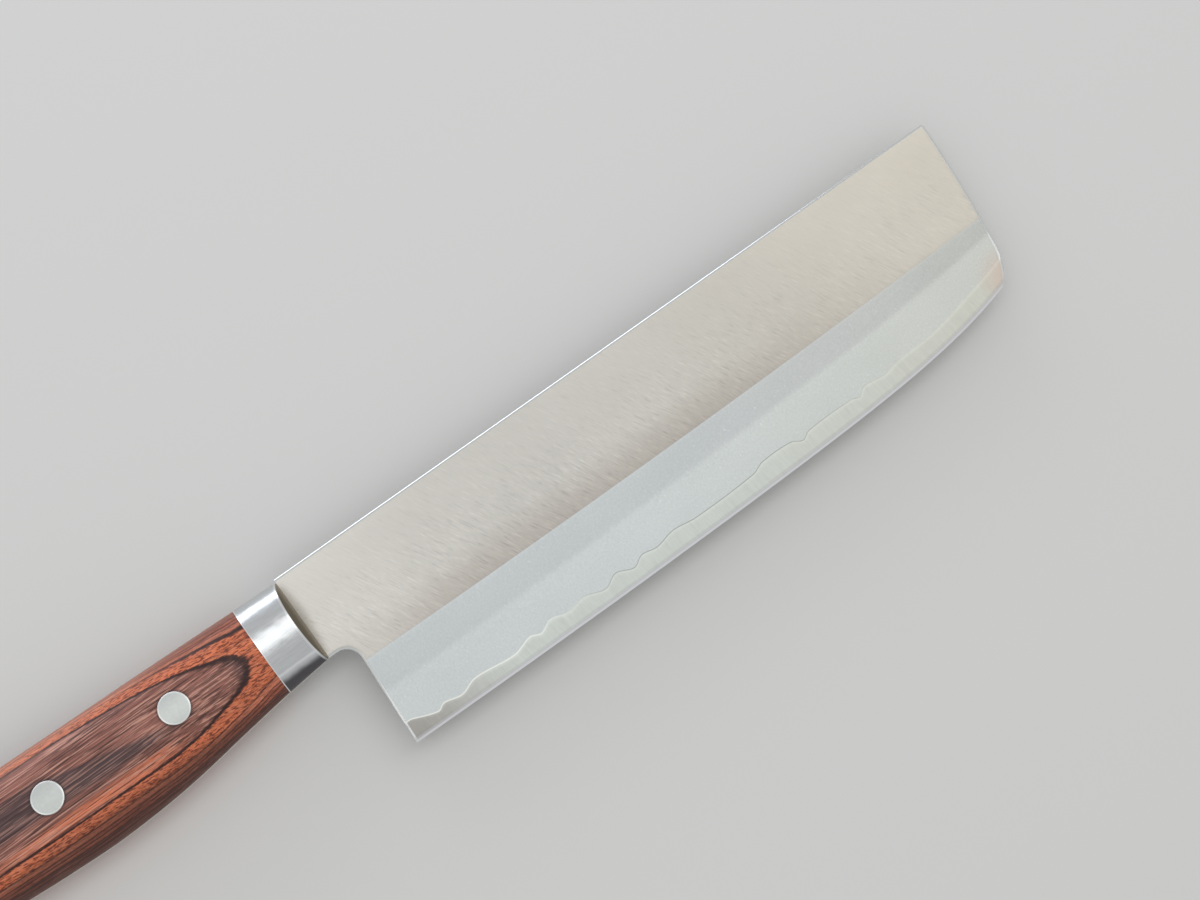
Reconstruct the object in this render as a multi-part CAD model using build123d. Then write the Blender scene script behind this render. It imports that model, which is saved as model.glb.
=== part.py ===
from build123d import *
import os
from math import radians, tan

# A nakiri: a straight-edged vegetable knife with a laminated blade, a brazed bolster
# and a riveted full-tang handle. Lengths are in millimetres.
# +X runs along the knife to the tip, +Y up to the spine, +Z out of the front face.
# The origin is where the blade leaves the bolster, in the middle of the blade's
# thickness, on the line that the rivets stand on.

# Blade, seen from the side
blade_length = 165.0  # heel to tip
heel_gap = 4.3  # bolster to the heel corner
spine_height = 10.0  # rivet line to the spine
blade_depth = 44.2  # spine to the lowest point of the edge
neck_drop = 9.3  # rivet line to the underside of the neck
heel_lean = 2.4  # degrees the back of the blade leans from square
choil_radius = 3.3
spine_corner_radius = 0.8
nose_setback = 7.0  # edge corner behind the foremost point of the tip
nose_lean = 3.25  # foot of the nose behind its top
nose_bow = 0.45  # how far the nose stands out from a straight line
nose_round_height = 8.0  # edge corner up to the foot of the nose

# The edge: lifted a little at the heel, swept up at the tip
flat_spot_share = 0.46  # the lowest point of the edge, along the blade
heel_lift = 0.95
tip_lift = 5.45
slow_sweep_share = 0.29  # part of the tip's lift that grows with the square

# Blade, across its thickness
stock_thickness = 2.0
tip_thickness = 1.35
grind_line_height = 19.4  # lowest point of the edge to the grind line at mid-blade
grind_line_bow = 0.9  # how far its two ends lie above its middle
break_height_shares = (0.62, 0.73)  # break between the facets, edge to grind line, at each end
break_half_share = 0.62  # thickness left there, of the blade's own thickness
bevel_height = 0.9
shoulder_thickness = 0.34  # above the final bevel
edge_thickness = 0.06
spine_easing = 0.5  # chamfer along the spine, nose and choil

# Core of hard steel, laid open by the grinding below a wavy line
core_line_height = 4.5  # mean height of that line above the edge
cladding_lip = 0.04  # thickness of the cladding where it ends at that line
# Crests and troughs of the line: way along the blade, height against its mean
core_line_shares = [
    (0.010, 1.02), (0.043, 0.60), (0.054, 0.77), (0.078, 0.61), (0.102, 0.88),
    (0.158, 0.71), (0.186, 0.97), (0.200, 0.80), (0.218, 1.07), (0.243, 0.87),
    (0.268, 1.05), (0.297, 0.75), (0.318, 1.07), (0.342, 0.77), (0.358, 1.05),
    (0.380, 0.93), (0.409, 1.12), (0.442, 0.97), (0.535, 1.01), (0.554, 1.22),
    (0.599, 1.16), (0.614, 0.88), (0.627, 1.09), (0.697, 1.03), (0.708, 0.87),
    (0.721, 1.15), (0.752, 0.97), (0.782, 1.07), (0.840, 0.97), (0.910, 1.06),
    (1.000, 1.00),
]
# Where the ground facets are set out along the blade
grind_station_shares = [0.0, 0.15, 0.3, 0.46, 0.6, 0.7, 0.8, 0.88, 0.94, 1.0, 1.04]

# Handle and bolster: one ground form, cut into its layers
handle_length = 116.4  # bolster's front to the butt
grip_depth = 25.4  # deepest part, back to belly
grip_thickness = 16.0
bolster_length = 10.2
bolster_slope = 16.0  # degrees the bolster's front leans back from square
# Way back along the handle, then back and belly off the rivet line as shares of the
# grip's depth, and half thickness as a share of its thickness
handle_shares = [
    (0.000, 0.368, 0.370, 0.360),
    (0.088, 0.380, 0.412, 0.395),
    (0.181, 0.392, 0.468, 0.434),
    (0.314, 0.406, 0.549, 0.478),
    (0.442, 0.417, 0.580, 0.498),
    (0.551, 0.428, 0.562, 0.500),
    (0.688, 0.430, 0.522, 0.488),
    (0.817, 0.415, 0.526, 0.486),
    (0.905, 0.386, 0.556, 0.490),
    (0.955, 0.345, 0.535, 0.446),
    (0.986, 0.276, 0.462, 0.350),
    (1.000, 0.190, 0.364, 0.226),
]

# Two-piece rivets, evenly spaced and ground flush with the scales
rivet_names = ["fore", "mid", "rear"]
first_rivet = 29.6  # bolster's front to the first rivet, and butt to the last
head_diameter = 6.5
head_thickness = 1.6
sleeve_diameter = 4.2
shank_diameter = 3.0
shank_gap = 0.8  # room left past the end of the shank
fit_clearance = 0.02

overrun = 5.0  # how far every cut runs past what it cuts

heel_x = heel_gap
tip_x = heel_gap + blade_length
edge_low_y = spine_height - blade_depth
low_x = heel_x + flat_spot_share * blade_length
corner_x = tip_x - nose_setback
half_stock = stock_thickness / 2
half_taper = (stock_thickness - tip_thickness) / 2
half_shoulder = shoulder_thickness / 2
core_line = [(heel_x + way * blade_length, height * core_line_height) for way, height in core_line_shares]


def edge_y(x):
    """Height of the edge: a parabola to the heel, a quickening sweep to the tip."""
    if x < low_x:
        return edge_low_y + heel_lift * ((low_x - x) / (low_x - heel_x)) ** 2
    way = (x - low_x) / (corner_x - low_x)
    sweep = slow_sweep_share * way**2 + (1 - slow_sweep_share) * way**5
    return edge_low_y + tip_lift * sweep


def plate_half(x):
    """Half thickness before grinding, falling evenly from the bolster to the tip."""
    return half_stock - half_taper * x / tip_x


def grind_line_y(x):
    """Height of the grind line, bowed about the middle of the blade."""
    middle = (heel_x + tip_x) / 2
    return edge_low_y + grind_line_height + grind_line_bow * ((x - middle) / (tip_x - middle)) ** 2


def break_height(x):
    """Height above the edge where the upper facet turns into the lower one."""
    rear, front = break_height_shares
    share = rear + (front - rear) * x / tip_x
    return share * (grind_line_y(x) - edge_y(x))


def facet_half(x, height):
    """Half thickness of the lower facet at a height above the edge."""
    rise = (height - bevel_height) / (break_height(x) - bevel_height)
    return half_shoulder + rise * (break_half_share * plate_half(x) - half_shoulder)


def slab(x_range, z_range):
    """A block deeper than the knife, between two places along it and two levels."""
    size = (x_range[1] - x_range[0], 4 * blade_depth, z_range[1] - z_range[0])
    middle = (sum(x_range) / 2, 0, sum(z_range) / 2)
    return Pos(*middle) * Box(*size)


def across(x, y=0.0):
    """The plane square to the knife's length, with Y to its right and Z up."""
    return Plane(origin=(x, y, 0), x_dir=(0, 1, 0), z_dir=(1, 0, 0))


def blade_outline():
    """Side view of the blade in front of the bolster, left long below the edge."""
    below = edge_low_y - overrun
    lean = tan(radians(heel_lean))
    heel_y = edge_y(heel_x)
    neck_corner = (heel_x + lean * (-neck_drop - heel_y), -neck_drop)
    heel_foot = (heel_x + lean * (below - heel_y), below)
    corner = (corner_x, edge_y(corner_x))
    nose_foot = (tip_x - nose_lean, edge_y(corner_x) + nose_round_height)
    nose_top = (tip_x, spine_height)
    with BuildSketch() as side:
        with BuildLine():
            Polyline(nose_top, (0, spine_height), (0, -neck_drop), neck_corner, heel_foot)
            Polyline(heel_foot, (corner_x, below), corner)
            nose = SagittaArc(nose_top, nose_foot, nose_bow)
            TangentArc(nose_foot, corner, tangent=nose % 1)
        make_face()
        for place, radius in ((neck_corner, choil_radius), (nose_top, spine_corner_radius)):
            fillet(side.vertices().sort_by_distance((*place, 0))[0], radius)
    return side.sketch


def blade_plate():
    """The forged blank: the outline, tapered in thickness and eased along its spine."""
    far_x = tip_x + overrun
    with BuildSketch(Plane.XZ) as plan:
        Polygon(
            (0, half_stock),
            (0, -half_stock),
            (far_x, -plate_half(far_x)),
            (far_x, plate_half(far_x)),
            align=None,
        )
    wedge = extrude(plan.sketch, amount=2 * blade_depth, both=True)
    plate = extrude(blade_outline(), amount=stock_thickness, both=True) & wedge
    sides = plate.faces().sort_by(Axis.Z)
    arrises = sides[0].edges() + sides[-1].edges()
    shown = [e for e in arrises if e.center().X > 0 and e.center().Y > edge_low_y]
    return chamfer(shown, spine_easing)


def facet_corners(x):
    """The corners of the front's ground facets at one place, and a flat side behind."""
    edge = edge_y(x)
    line_y = grind_line_y(x)
    break_y = edge + break_height(x)
    break_half = break_half_share * plate_half(x)
    slope = (plate_half(x) - break_half) / (line_y - break_y)
    top_y = spine_height + overrun
    return [
        (x, top_y, plate_half(x) + slope * (top_y - line_y)),
        (x, break_y, break_half),
        (x, edge + bevel_height, half_shoulder),
        (x, edge, edge_thickness / 2),
        (x, edge, -stock_thickness),
        (x, top_y, -stock_thickness),
    ]


def ground_form():
    """All that the stones leave on one side: ruled facets between flowing corners."""
    stations = [facet_corners(share * tip_x) for share in grind_station_shares]
    corners = [Edge.make_spline([Vector(*p) for p in line]) for line in zip(*stations)]
    pairs = zip(corners, corners[1:] + corners[:1])
    facets = [Face.make_surface_from_curves(one, other) for one, other in pairs]
    ends = [Face(Wire.make_polygon([Vector(*p) for p in stations[i]])) for i in (0, -1)]
    return Solid(Shell(facets + ends))


def handle_section(way, back, belly, half):
    """An oval across the handle, with its back and belly set off the rivet line."""
    top = back * grip_depth
    bottom = -belly * grip_depth
    plane = across(-way * handle_length, (top + bottom) / 2)
    return plane * Ellipse((top - bottom) / 2, half * grip_thickness)


def handle_form():
    return loft([handle_section(*row) for row in handle_shares])


def flowing_line(points):
    """A wavy line in short stretches, aimed at each point along the points beside it."""
    before = points[:1] + points[:-1]
    after = points[1:] + points[-1:]
    aims = [(b[0] - a[0], b[1] - a[1]) for a, b in zip(before, after)]
    spans = range(len(points) - 1)
    return [Spline(points[i], points[i + 1], tangents=aims[i : i + 2]) for i in spans]


def core_sheet():
    """The core's own sheet, whose faces undulate as the wavy line does."""
    even = facet_half(0, core_line_height) - cladding_lip
    front = [(0, even)] + [(x, facet_half(x, height) - cladding_lip) for x, height in core_line]
    front = front + [(tip_x + overrun, front[-1][1])]
    back = [(x, -z) for x, z in front]
    rear = -handle_length - overrun
    tang_end = Polyline(front[0], (rear, even), (rear, -even), back[0]).edges()
    outline = flowing_line(front) + flowing_line(back) + tang_end + [Line(front[-1], back[-1])]
    return extrude(Plane.XZ * make_face(outline), amount=2 * blade_depth, both=True)


def laid_open():
    """All that lies below the wavy line, where no cladding is left."""
    below = edge_low_y - overrun
    line = [(0, edge_y(0) + core_line_height)]
    line = line + [(x, edge_y(x) + height) for x, height in core_line]
    line = line + [(tip_x + overrun, line[-1][1])]
    foot = Polyline(line[-1], (tip_x + overrun, below), (0, below), line[0]).edges()
    return extrude(make_face(flowing_line(line) + foot), amount=stock_thickness, both=True)


def handle_surface(form, x):
    """Height of the front of the handle on the rivet line."""
    hits = form.find_intersection_points(Axis((x, 0, 0), (0, 0, 1)))
    return max(point.Z for point, normal in hits)


def rod(x, diameter, z_range):
    """A round bar square to the blade, between two levels on the rivet line."""
    bar = Cylinder(diameter / 2, z_range[1] - z_range[0])
    return Pos(x, 0, sum(z_range) / 2) * bar


def bolster_front_cut():
    """What the sloping front of the bolster's front half leaves clear."""
    rise = grip_thickness
    back = -rise * tan(radians(bolster_slope))
    top = half_stock + rise
    with BuildSketch(Plane.XZ) as plan:
        Polygon((0, half_stock), (overrun, half_stock), (overrun, top), (back, top), align=None)
    return extrude(plan.sketch, amount=grip_depth, both=True)


def mirrored(solid):
    return solid.mirror(Plane.XY)


os.makedirs("parts", exist_ok=True)

form = handle_form()
butt = -handle_length - overrun
above = (half_stock, grip_thickness)

# Rivet seats: one counterbore each side and one hole through everything
pitch = (handle_length - 2 * first_rivet) / (len(rivet_names) - 1)
rivet_places = [-first_rivet - i * pitch for i in range(len(rivet_names))]
seat_levels = [handle_surface(form, x) - head_thickness for x in rivet_places]
hole_diameter = sleeve_diameter + 2 * fit_clearance
seat_diameter = head_diameter + 2 * fit_clearance
through = (-grip_thickness, grip_thickness)
holes = [rod(x, hole_diameter, through) for x in rivet_places]
seats = [rod(x, seat_diameter, (z, grip_thickness)) for x, z in zip(rivet_places, seat_levels)]

# Blade and tang: one blank, ground, drilled, then parted into its three layers
ground = ground_form()
blade = blade_plate() & ground & mirrored(ground)
tang = form & slab((butt, 0), (-half_stock, half_stock))
blank = blade + tang
blank = blank - holes
core = core_sheet() + laid_open()
nodes = {"core_steel": blank & core}
layers = (blank - core).solids().sort_by(Axis.Z)
nodes["cladding_back"] = layers[0]
nodes["cladding_front"] = layers[-1]

# Bolster: two halves brazed to the sides of the neck
half_bolster = form & slab((-bolster_length, 0), above)
half_bolster = half_bolster - bolster_front_cut()
nodes["bolster_front"] = half_bolster
nodes["bolster_back"] = mirrored(half_bolster)

# Scales: bedded on the sides of the tang, behind the bolster
scale = form & slab((butt, -bolster_length), above)
scale = scale - holes - seats
nodes["scale_front"] = scale
nodes["scale_back"] = mirrored(scale)

# Rivets: a post with its head in front, pressed into a sleeve with its head behind
for name, x, level in zip(rivet_names, rivet_places, seat_levels):
    head = rod(x, head_diameter, (level, grip_thickness)) & form
    post = rod(x, shank_diameter, (shank_gap - level, level))
    nodes["rivet_post_" + name] = head + post
    tube = rod(x, sleeve_diameter, (-level, level - shank_gap))
    bore = rod(x, shank_diameter + 2 * fit_clearance, (-level, level))
    nodes["rivet_sleeve_" + name] = mirrored(head) + (tube - bore)

for name, node in nodes.items():
    export_step(node, "parts/" + name + ".step")
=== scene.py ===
import bmesh
import bpy
import numpy as np
from math import pi, radians
from mathutils import Matrix, Vector


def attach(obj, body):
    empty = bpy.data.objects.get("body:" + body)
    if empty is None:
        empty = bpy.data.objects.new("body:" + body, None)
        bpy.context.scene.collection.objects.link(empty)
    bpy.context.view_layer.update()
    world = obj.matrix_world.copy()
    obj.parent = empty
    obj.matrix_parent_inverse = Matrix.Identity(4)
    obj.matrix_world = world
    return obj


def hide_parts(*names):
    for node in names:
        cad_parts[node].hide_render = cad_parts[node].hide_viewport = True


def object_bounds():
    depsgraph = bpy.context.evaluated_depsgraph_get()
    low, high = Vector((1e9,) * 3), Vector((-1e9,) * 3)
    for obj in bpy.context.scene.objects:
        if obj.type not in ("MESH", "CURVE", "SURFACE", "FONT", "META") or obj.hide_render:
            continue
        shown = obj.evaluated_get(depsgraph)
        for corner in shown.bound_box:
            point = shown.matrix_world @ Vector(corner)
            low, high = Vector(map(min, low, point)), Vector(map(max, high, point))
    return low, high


# The nakiri, dressed over its solids. Shapes are worked out in millimetres in the
# solids' own frame: +X to the tip, +Y to the spine, +Z out of the front face.
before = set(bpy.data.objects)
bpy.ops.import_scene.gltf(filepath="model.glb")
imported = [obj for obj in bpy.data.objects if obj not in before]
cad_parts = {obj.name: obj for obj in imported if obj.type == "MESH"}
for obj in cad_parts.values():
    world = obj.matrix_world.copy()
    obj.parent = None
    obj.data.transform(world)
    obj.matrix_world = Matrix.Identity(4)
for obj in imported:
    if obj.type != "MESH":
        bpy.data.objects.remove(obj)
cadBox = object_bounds()
mm = 0.001
mirror = np.array([1, 1, -1])  # points of the front half, times this, are the back's
weldGap = 0.0002  # points nearer than this are one
hair = 1e-6  # a length that counts as nothing


# Helpers for curves

def through(places, values, at):
    # A smooth curve through points: cubic stretches that leave each point along the
    # line between its two neighbours
    places, values = np.asarray(places, float), np.asarray(values, float)
    slopes = np.gradient(values) / np.gradient(places)
    i = np.clip(np.searchsorted(places, at, side="right") - 1, 0, len(places) - 2)
    span = places[i + 1] - places[i]
    t = (at - places[i]) / span
    level = values[i] * (1 + 2 * t) * (1 - t) ** 2 + values[i + 1] * t**2 * (3 - 2 * t)
    return level + span * t * (1 - t) * (slopes[i] * (1 - t) - slopes[i + 1] * t)


def ease(t):
    # From 0 to 1, flat at both ends
    t = np.clip(t, 0, 1)
    return t * t * (3 - 2 * t)


def rounded(distance, width):
    # How far an eased arris has fallen, from 0 on the face to 1 at the arris: a
    # quarter circle over the width
    t = np.clip(1 - distance / width, 0, 1)
    return 1 - np.sqrt(np.clip(1 - t * t, 0, 1))


def endSteps(length, width, fine=9):
    # Places from 0 to a length, crowded towards 0 over the width of an easing
    crowded = width * (1 - np.cos(np.linspace(0, pi / 2, fine)))
    return np.append(crowded[:-1], np.linspace(width, length, 4))


# Helpers for meshes

def closedSheet(front, back, keep=None):
    # Two sheets over one grid, rows up and columns to the right: each kept cell has a
    # face in front and one behind, and a wall stands where a kept cell has no neighbour
    rows, columns = front.shape[:2]
    keep = np.ones((rows - 1, columns - 1), bool) if keep is None else keep
    near = np.arange(rows * columns).reshape(rows, columns)
    far = near + rows * columns
    i, j = np.nonzero(keep)
    ring = [(0, 0), (0, 1), (1, 1), (1, 0)]
    quads = [np.stack([near[i + a, j + b] for a, b in ring], 1)]
    quads += [np.stack([far[i + a, j + b] for a, b in reversed(ring)], 1)]
    framed = np.pad(keep, 1)
    # Step to the neighbour on a side, and the two corners of the cell there
    sides = [
        ((0, -1), (0, 0), (1, 0)), ((1, 0), (1, 0), (1, 1)),
        ((0, 1), (1, 1), (0, 1)), ((-1, 0), (0, 1), (0, 0)),
    ]
    for (di, dj), (ai, aj), (bi, bj) in sides:
        alone = ~framed[i + 1 + di, j + 1 + dj]
        p, q = i[alone], j[alone]
        wall = [near[p + ai, q + aj], near[p + bi, q + bj], far[p + bi, q + bj], far[p + ai, q + aj]]
        quads += [np.stack(wall, 1)]
    points = np.concatenate([front.reshape(-1, 3), back.reshape(-1, 3)])
    return points, np.concatenate(quads).tolist()


def closedTube(rings):
    # Rings of points, each closed on itself, skinned one to the next, with both ends shut
    count, around = rings.shape[:2]
    index = np.arange(count * around).reshape(count, around)
    turned = np.roll(index, -1, 1)
    quads = np.stack([index[:-1], turned[:-1], turned[1:], index[1:]], -1).reshape(-1, 4).tolist()
    return rings.reshape(-1, 3), quads + [index[0][::-1].tolist(), index[-1].tolist()]


def joined(parts):
    # Several lots of points and faces as one
    points, faces, base = [], [], 0
    for somePoints, someFaces in parts:
        points.append(somePoints)
        faces += [[base + k for k in face] for face in someFaces]
        base += len(somePoints)
    return np.concatenate(points), faces


def makePiece(name, shape, finish, nodes, sharp, marks=None):
    # One visible piece; edges that turn by more than sharp, in degrees, stay crisp
    points, faces = shape
    mesh = bpy.data.meshes.new(name)
    mesh.from_pydata((points * mm).tolist(), [], faces)
    for mark, values in (marks or {}).items():
        layer = mesh.attributes.new(mark, "FLOAT", "POINT")
        layer.data.foreach_set("value", np.asarray(values, np.float32).ravel())
    work = bmesh.new()
    work.from_mesh(mesh)
    bmesh.ops.delete(work, geom=[v for v in work.verts if not v.link_faces], context="VERTS")
    bmesh.ops.remove_doubles(work, verts=work.verts, dist=weldGap * mm)
    bmesh.ops.recalc_face_normals(work, faces=work.faces)
    work.to_mesh(mesh)
    work.free()
    mesh.polygons.foreach_set("use_smooth", np.ones(len(mesh.polygons), bool))
    mesh.set_sharp_from_angle(angle=radians(sharp))
    mesh.materials.append(finish)
    piece = bpy.data.objects.new(name, mesh)
    bpy.context.scene.collection.objects.link(piece)
    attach(piece, "root")
    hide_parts(*nodes)
    print("made", name, len(mesh.polygons), "faces")


# Helpers for materials

class Flow:
    # A socket that takes part in sums
    def __init__(self, finish, socket):
        self.finish, self.socket = finish, socket

    def maths(self, operation, *others):
        sockets = dict(enumerate([self, *others]))
        return self.finish.node("ShaderNodeMath", {"operation": operation}, sockets)

    def __add__(self, other):
        return self.maths("ADD", other)

    def __sub__(self, other):
        return self.maths("SUBTRACT", other)

    def __rsub__(self, other):
        return self * -1 + other

    def __mul__(self, other):
        return self.maths("MULTIPLY", other)

    def __truediv__(self, other):
        return self.maths("DIVIDE", other)

    __radd__ = __add__
    __rmul__ = __mul__

    def other(self, out):
        # Another output of the same node
        return Flow(self.finish, self.socket.node.outputs[out])

    def between(self, low, high):
        # 0 at low and past it, 1 at high and past it, smooth in between; low may be
        # the larger of the two
        rise = {"From Min": min(low, high), "From Max": max(low, high)}
        rise |= {"To Min": float(low > high), "To Max": float(low < high), "Value": self}
        return self.finish.node("ShaderNodeMapRange", {"interpolation_type": "SMOOTHSTEP"}, rise)


class Finish:
    # One material: its own shader, fed by name
    def __init__(self, name, **fixed):
        self.material = bpy.data.materials.new(name)
        self.material.use_nodes = True
        self.tree = self.material.node_tree
        self.shader = self.tree.nodes["Principled BSDF"]
        self.feedShader(fixed)
        self.place = self.node("ShaderNodeTexCoord", out="Object")

    def feed(self, node, sockets):
        for key, value in sockets.items():
            if isinstance(value, Flow):
                self.tree.links.new(value.socket, node.inputs[key])
            else:
                node.inputs[key].default_value = value

    def feedShader(self, named):
        self.feed(self.shader, {key.replace("_", " "): value for key, value in named.items()})

    def node(self, kind, settings=None, sockets=None, out=0):
        made = self.tree.nodes.new(kind)
        for key, value in (settings or {}).items():
            if key == "stops":
                for extra in value[2:]:
                    made.color_ramp.elements.new(extra[0])
                for stop, (at, colour) in zip(made.color_ramp.elements, value):
                    stop.position, stop.color = at, (*colour, 1)
            else:
                setattr(made, key, value)
        self.feed(made, sockets or {})
        return Flow(self, made.outputs[out])

    def mark(self, name):
        return self.node("ShaderNodeAttribute", {"attribute_name": name}, out="Fac")

    def places(self):
        # Object coordinates in millimetres
        parts = self.node("ShaderNodeSeparateXYZ", {}, {0: self.place})
        return [parts.other(out) / mm for out in range(3)]

    def grain(self, pitch, angle=0, shift=(0, 0, 0), detail=2.0, rough=0.5):
        # Noise with so many features per millimetre along X, Y and Z, turned about Z by
        # an angle in degrees; about 0.5 on average
        sockets = {"Vector": self.place, "Rotation": (0, 0, radians(angle)), "Location": shift}
        turned = self.node("ShaderNodeMapping", {}, sockets)
        stretch = {0: turned, 1: tuple(part / mm for part in pitch)}
        where = self.node("ShaderNodeVectorMath", {"operation": "MULTIPLY"}, stretch)
        sockets = {"Vector": where, "Scale": 1.0, "Detail": detail, "Roughness": rough}
        return self.node("ShaderNodeTexNoise", {}, sockets)

    def blend(self, factor, low, high, mode="MIX"):
        low, high = [(*c, 1) if isinstance(c, tuple) else c for c in (low, high)]
        settings = {"data_type": "RGBA", "blend_type": mode}
        return self.node("ShaderNodeMix", settings, {0: factor, 6: low, 7: high}, out=2)

    def shade(self, colour, value):
        # A colour made darker or lighter by a number
        grey = self.node("ShaderNodeCombineColor", {}, {0: value, 1: value, 2: value})
        return self.blend(1.0, colour, grey, "MULTIPLY")

    def bumped(self, height, depth):
        # depth is in millimetres
        return self.node("ShaderNodeBump", {}, {"Height": height, "Distance": depth * mm, "Strength": 1.0})

    def close(self, **varying):
        self.feedShader(varying)
        return self.material


def paint(red, green, blue):
    # A colour as it is seen on a screen, 0 to 255, as the light that the shader wants
    seen = [part / 255 for part in (red, green, blue)]
    return tuple(part / 12.92 if part < 0.04045 else ((part + 0.055) / 1.055) ** 2.4 for part in seen)


def distance(across, up):
    # How far a place in a finish lies from a point
    return (across * across + up * up).maths("SQRT")


# The blade's lines and thickness

blade = {
    "heelX": 4.3, "length": 165.0,
    "spineY": 10.0, "depth": 44.2,
    "neckY": -9.3, "choilRadius": 3.3, "heelLean": radians(2.4),
    "noseLean": 3.25, "noseBow": 0.45, "noseSetback": 7.0, "noseRise": 8.0,
    "spineCorner": 0.8,
    "flatSpot": 0.46, "heelLift": 0.95, "tipLift": 5.45, "slowSweep": 0.29,
    "stockHalf": 1.0, "tipHalf": 0.675,
    "grindHeight": 19.4, "grindBow": 0.9,
    "breakShares": (0.62, 0.73), "breakHalf": 0.62,
    "bevelHeight": 0.9, "shoulderHalf": 0.17, "edgeHalf": 0.03,
    "coreHeight": 4.5, "lip": 0.03,  # step down from the cladding to the core
    "rimWidth": 0.72, "rimDepth": 0.36,  # the eased arris round the outline
    "claddingRimShare": 0.6, "coreRimShare": 0.5,  # of the thickness, at most
    "lipRun": 0.5, "coreRimRun": 0.8,  # height over which both come in on the core
    "columnStep": 0.5, "endRun": 3.2, "endColumns": 15, "endCrowding": 1.8,
    "neckShares": (0, 0.06, 0.14, 0.24, 0.38, 0.6, 0.8),
    "settleTurns": 40,  # rounds in which a row finds its ends
    "slopeStep": 0.05, "steepest": 3,  # for the slope of the nose
    "sharp": 14,  # edges that turn by more, in degrees, stay crisp
}
# Crests and troughs of the core line: way along the blade, height against its mean
coreShares = np.array([
    (0.010, 1.02), (0.043, 0.60), (0.054, 0.77), (0.078, 0.61), (0.102, 0.88),
    (0.158, 0.71), (0.186, 0.97), (0.200, 0.80), (0.218, 1.07), (0.243, 0.87),
    (0.268, 1.05), (0.297, 0.75), (0.318, 1.07), (0.342, 0.77), (0.358, 1.05),
    (0.380, 0.93), (0.409, 1.12), (0.442, 0.97), (0.535, 1.01), (0.554, 1.22),
    (0.599, 1.16), (0.614, 0.88), (0.627, 1.09), (0.697, 1.03), (0.708, 0.87),
    (0.721, 1.15), (0.752, 0.97), (0.782, 1.07), (0.840, 0.97), (0.910, 1.06),
    (1.000, 1.00),
])
tipX = blade["heelX"] + blade["length"]
lowY = blade["spineY"] - blade["depth"]
lowX = blade["heelX"] + blade["flatSpot"] * blade["length"]
cornerX = tipX - blade["noseSetback"]


def edgeLine(x):
    # A parabola back to the heel, and a quickening sweep up to the tip
    back = (lowX - x) / (lowX - blade["heelX"])
    on = np.clip((x - lowX) / (cornerX - lowX), 0, None)
    sweep = blade["slowSweep"] * on**2 + (1 - blade["slowSweep"]) * on**5
    return lowY + np.where(x < lowX, blade["heelLift"] * back**2, blade["tipLift"] * sweep)


def plateHalf(x):
    return blade["stockHalf"] - (blade["stockHalf"] - blade["tipHalf"]) * x / tipX


def grindLine(x):
    middle = (blade["heelX"] + tipX) / 2
    return lowY + blade["grindHeight"] + blade["grindBow"] * ((x - middle) / (tipX - middle)) ** 2


def breakLine(x):
    rear, fore = blade["breakShares"]
    return edgeLine(x) + (rear + (fore - rear) * x / tipX) * (grindLine(x) - edgeLine(x))


def shoulderLine(x):
    return edgeLine(x) + blade["bevelHeight"]


def coreLine(x):
    places = blade["heelX"] + coreShares[:, 0] * blade["length"]
    height = through(places, coreShares[:, 1], np.clip(x, places[0], places[-1]))
    return edgeLine(x) + blade["coreHeight"] * height


def groundHalf(x, y):
    # Half thickness: bevel, lower facet, upper facet and plate, each straight in height
    height = y - edgeLine(x)
    breakHeight, breakHalf = breakLine(x) - edgeLine(x), blade["breakHalf"] * plateHalf(x)
    bevel = blade["edgeHalf"] + height / blade["bevelHeight"] * (blade["shoulderHalf"] - blade["edgeHalf"])
    rise = (height - blade["bevelHeight"]) / (breakHeight - blade["bevelHeight"])
    lower = blade["shoulderHalf"] + rise * (breakHalf - blade["shoulderHalf"])
    upper = breakHalf + (y - breakLine(x)) / (grindLine(x) - breakLine(x)) * (plateHalf(x) - breakHalf)
    under = [height < blade["bevelHeight"], height < breakHeight, y < grindLine(x)]
    return np.select(under, [bevel, lower, upper], plateHalf(x))


def coreHalf(x):
    return groundHalf(x, coreLine(x)) - blade["lip"]


# The blade's outline

choilY = blade["neckY"] - blade["choilRadius"]
heelSlope = np.tan(blade["heelLean"])
heelY = float(edgeLine(np.array(blade["heelX"])))
choilX = blade["heelX"] + heelSlope * (choilY - heelY) - blade["choilRadius"] / np.cos(blade["heelLean"])
choilFootY = choilY - blade["choilRadius"] * np.sin(blade["heelLean"])
cornerY = float(edgeLine(np.array(cornerX)))
noseFoot = np.array([tipX - blade["noseLean"], cornerY + blade["noseRise"]])
noseTall = blade["spineY"] - noseFoot[1]
noseTurn = np.arctan2(blade["noseLean"], noseTall) + 4 * blade["noseBow"] / noseTall
noseIn = np.array([-np.cos(noseTurn), np.sin(noseTurn)])
noseChord = np.array([cornerX, cornerY]) - noseFoot
noseRadius = noseChord @ noseChord / (2 * noseChord @ noseIn)
noseCentre = noseFoot + noseRadius * noseIn


def leftEnd(y):
    # The leaning heel, then the round of the choil up to the underside of the neck
    heel = blade["heelX"] + heelSlope * (y - heelY)
    rise = np.clip(y - choilY, -blade["choilRadius"], blade["choilRadius"])
    choil = choilX + np.sqrt(blade["choilRadius"] ** 2 - rise**2)
    return np.where(y < choilFootY, heel, choil)


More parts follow.
